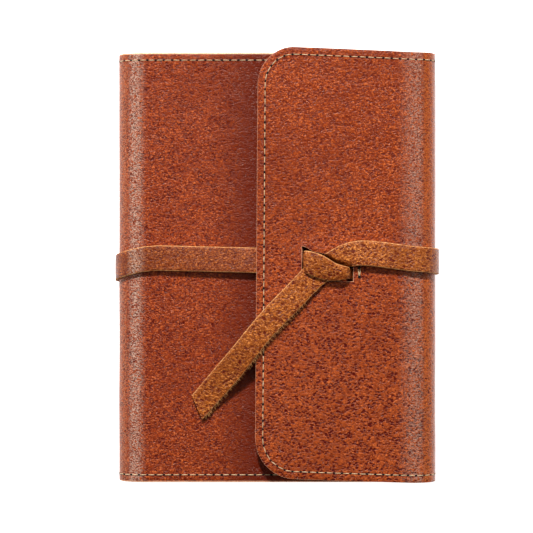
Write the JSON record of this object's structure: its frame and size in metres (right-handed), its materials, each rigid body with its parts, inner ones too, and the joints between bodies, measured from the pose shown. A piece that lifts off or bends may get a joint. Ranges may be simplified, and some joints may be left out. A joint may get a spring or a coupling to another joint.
{
  "type": "notebook cover",
  "caption": "Leather notebook cover that wraps round a bound notebook, with a fold-over flap and a strap that tucks under a sewn keeper.",
  "frame": {"origin": "on the surface that the cover lies on, under the middle of its outline", "axes": "+Y from the foot to the head of the cover, its longest side; +Z out of the front cover, its shortest side; +X from the spine to the fore edge"},
  "size_m": [0.1676, 0.2224, 0.0307],
  "materials": {
    "back_cover_leather": "satin",
    "back_cover_lining": "matte",
    "back_pocket_sleeve": "matte",
    "back_stitching_top": "waxed thread",
    "back_stitching_bottom": "waxed thread",
    "spine_leather": "satin",
    "spine_lining": "matte",
    "notebook_back_board": "matte",
    "notebook_page_block": "matte",
    "notebook_spine_strip": "matte",
    "strap_back_run": "satin",
    "strap_spine_run": "satin",
    "front_cover_leather": "satin",
    "front_cover_lining": "matte",
    "front_pocket_sleeve": "matte",
    "notebook_front_board": "matte",
    "strap_front_run": "satin",
    "front_stitching_top": "waxed thread",
    "front_stitching_bottom": "waxed thread",
    "fore_edge_leather": "satin",
    "fore_edge_lining": "matte",
    "strap_fore_edge_run": "satin",
    "fore_edge_stitching_top": "waxed thread",
    "fore_edge_stitching_bottom": "waxed thread",
    "flap_leather": "satin",
    "flap_lining": "matte",
    "strap_keeper": "satin",
    "strap_over_flap": "satin",
    "keeper_bar_tack": "waxed thread",
    "flap_stitching": "waxed thread",
    "strap_tail": "satin"
  },
  "bodies": {
    "back_cover": {"back_cover_leather": "back_cover_leather", "back_cover_lining": "back_cover_lining", "back_pocket_sleeve": "back_pocket_sleeve", "back_stitching_top": "back_stitching_top", "back_stitching_bottom": "back_stitching_bottom", "spine_leather": "spine_leather", "spine_lining": "spine_lining", "notebook_back_board": "notebook_back_board", "notebook_page_block": "notebook_page_block", "notebook_spine_strip": "notebook_spine_strip", "strap_back_run": "strap_back_run", "strap_spine_run": "strap_spine_run"},
    "front_cover": {"front_cover_leather": "front_cover_leather", "front_cover_lining": "front_cover_lining", "front_pocket_sleeve": "front_pocket_sleeve", "notebook_front_board": "notebook_front_board", "strap_front_run": "strap_front_run", "front_stitching_top": "front_stitching_top", "front_stitching_bottom": "front_stitching_bottom"},
    "fore_edge": {"fore_edge_leather": "fore_edge_leather", "fore_edge_lining": "fore_edge_lining", "strap_fore_edge_run": "strap_fore_edge_run", "fore_edge_stitching_top": "fore_edge_stitching_top", "fore_edge_stitching_bottom": "fore_edge_stitching_bottom"},
    "flap": {"flap_leather": "flap_leather", "flap_lining": "flap_lining", "strap_keeper": "strap_keeper", "strap_over_flap": "strap_over_flap", "keeper_bar_tack": "keeper_bar_tack", "flap_stitching": "flap_stitching"},
    "strap_tail": {"strap_tail": "strap_tail"}
  },
  "joints": [
    {"name": "fore_edge_fold", "type": "hinge", "parent": "back_cover", "child": "fore_edge", "pos_m": [0.08004, 0, 0.00376], "axis": [0, 1, 0], "range_deg": [0, 80]},
    {"name": "flap_fold", "type": "hinge", "parent": "fore_edge", "child": "flap", "pos_m": [0.08004, 0, 0.02194], "axis": [0, 1, 0], "range_deg": [0, 80]},
    {"name": "front_cover_turn", "type": "hinge", "parent": "back_cover", "child": "front_cover", "pos_m": [-0.07235, 0, 0.0226], "axis": [0, -1, 0], "range_deg": [0, 20]},
    {"name": "strap_tail_lift", "type": "hinge", "parent": "flap", "child": "strap_tail", "pos_m": [0.0146, -0.0088, 0.02845], "axis": [-0.7512, 0.6601, 0], "range_deg": [0, 25]}
  ],
  "couplings": [
    {"joint": "flap_fold", "follows": "fore_edge_fold", "ratio": 1},
    {"joint": "front_cover_turn", "follows": "fore_edge_fold", "ratio": 0.25}
  ]
}
